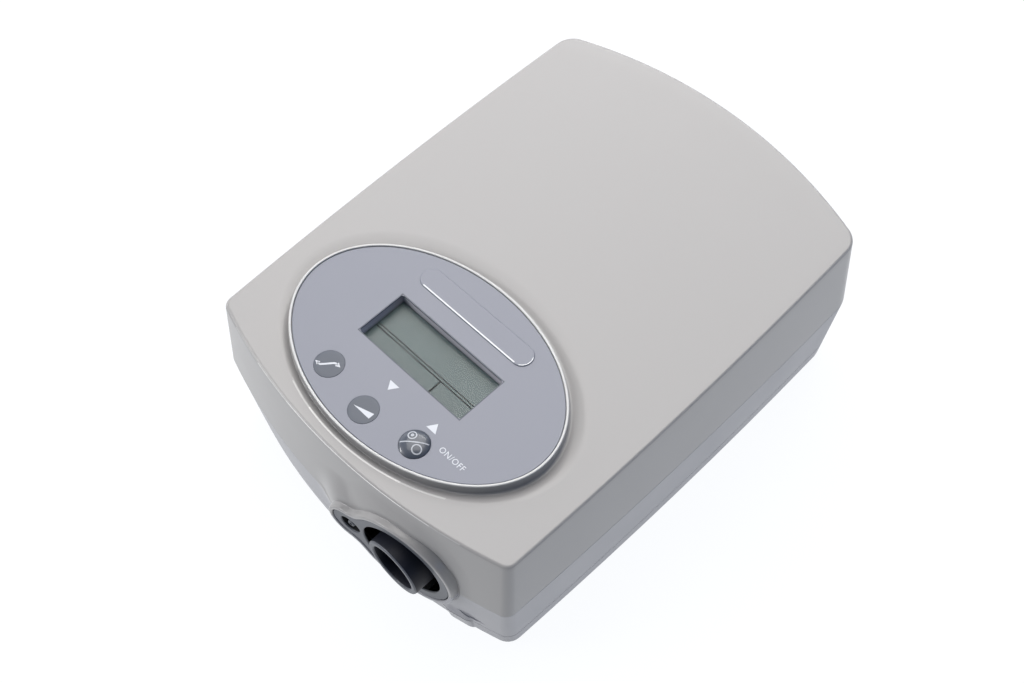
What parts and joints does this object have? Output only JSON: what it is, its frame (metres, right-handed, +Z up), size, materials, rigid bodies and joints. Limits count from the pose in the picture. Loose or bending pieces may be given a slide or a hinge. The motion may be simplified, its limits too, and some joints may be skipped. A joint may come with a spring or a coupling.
{
  "type": "positive airway pressure machine",
  "caption": "Bedside CPAP machine: bowed casing, oval panel with recessed display and press keys, cone outlet in a keyhole bezel, blower inside, mains inlet and hinged filter cover behind.",
  "frame": {"origin": "centre of the footprint, on the plane the rubber feet stand on", "axes": "+X to the right of someone reading the display, +Y to the rear (filter cover and mains inlet), +Z up"},
  "size_m": [0.1432, 0.2008, 0.0716],
  "materials": {
    "shell_upper": "satin",
    "shell_lower": "satin",
    "panel_frame": "satin",
    "panel_film": "satin",
    "badge": "satin",
    "key_grey": "semi-gloss",
    "key_dome": "gloss",
    "lcd": "gloss",
    "window": "gloss",
    "black_plastic": "matte",
    "port_grey": "satin",
    "nozzle_charcoal": "satin",
    "rubber_dark": "matte",
    "silicone_clear": "satin",
    "steel": "satin",
    "white_plastic": "matte",
    "blower_white": "satin",
    "foam": "matte",
    "filter_media": "matte",
    "circuit_board": "satin",
    "chip_black": "satin",
    "ferrite_tape": "satin",
    "capacitor_sleeve": "gloss",
    "heat_sink_alloy": "satin",
    "magnet": "satin",
    "windings": "satin",
    "brass_pins": "satin",
    "ribbon": "satin"
  },
  "bodies": {
    "case": {"upper_shell": "shell_upper", "lower_shell": "shell_lower", "base_pan": "shell_lower", "rubber_feet": "rubber_dark", "case_screws": "steel", "control_panel": "panel_frame", "panel_label": "panel_film", "blank_badge": "badge", "lcd_frame": "black_plastic", "lcd_glass": "lcd", "lcd_window": "window", "display_board": "circuit_board", "display_screws": "steel", "switch_domes": "steel", "ribbon_cable": "ribbon", "port_bezel": "port_grey", "outlet_nozzle": "nozzle_charcoal", "sense_fitting": "port_grey", "outlet_seal": "rubber_dark", "outlet_bellows": "silicone_clear", "sense_tube": "silicone_clear", "scroll_upper": "blower_white", "scroll_lower": "blower_white", "blower_mounts": "rubber_dark", "blower_screws": "steel", "motor_can": "steel", "motor_stator": "windings", "motor_bearings": "steel", "intake_elbow": "rubber_dark", "silencer_box": "white_plastic", "silencer_foam": "foam", "air_filter": "filter_media", "power_board": "circuit_board", "transformer": "ferrite_tape", "supply_capacitors": "capacitor_sleeve", "heat_sink": "heat_sink_alloy", "mains_inlet": "black_plastic", "inlet_pins": "brass_pins", "data_socket": "black_plastic", "mains_leads": "chip_black", "main_board": "circuit_board", "board_chips": "chip_black", "board_connectors": "white_plastic", "board_screws": "steel", "pressure_sensor": "chip_black", "motor_lead": "chip_black"},
    "info_button": {"info_key": "key_grey"},
    "ramp_button": {"ramp_key": "key_grey"},
    "power_button": {"power_key": "key_dome"},
    "fan": {"impeller": "white_plastic", "motor_shaft": "steel", "rotor_magnet": "magnet"},
    "filter_cover": {"filter_door": "shell_lower"},
    "data_cover": {"data_flap": "shell_lower"}
  },
  "joints": [
    {"name": "info_press", "type": "slide", "parent": "case", "child": "info_button", "axis": [0, 0, -1], "range_m": [0, 0.0006], "stiffness_N_per_m": 400, "springref_m": -0.0005},
    {"name": "ramp_press", "type": "slide", "parent": "case", "child": "ramp_button", "axis": [0, 0, -1], "range_m": [0, 0.0006], "stiffness_N_per_m": 400, "springref_m": -0.0005},
    {"name": "power_press", "type": "slide", "parent": "case", "child": "power_button", "axis": [0, 0, -1], "range_m": [0, 0.0006], "stiffness_N_per_m": 400, "springref_m": -0.0005},
    {"name": "fan_spin", "type": "hinge", "parent": "case", "child": "fan", "pos_m": [0.0035, 0.012, 0.03], "axis": [0, 0, 1], "continuous": true},
    {"name": "filter_door_hinge", "type": "hinge", "parent": "case", "child": "filter_cover", "pos_m": [0, 0.0948, 0.0399], "axis": [-1, 0, 0], "range_deg": [0, 90]},
    {"name": "data_flap_hinge", "type": "hinge", "parent": "case", "child": "data_cover", "pos_m": [-0.014, 0.0966, 0.0153], "axis": [-1, 0, 0], "range_deg": [0, 100]}
  ]
}
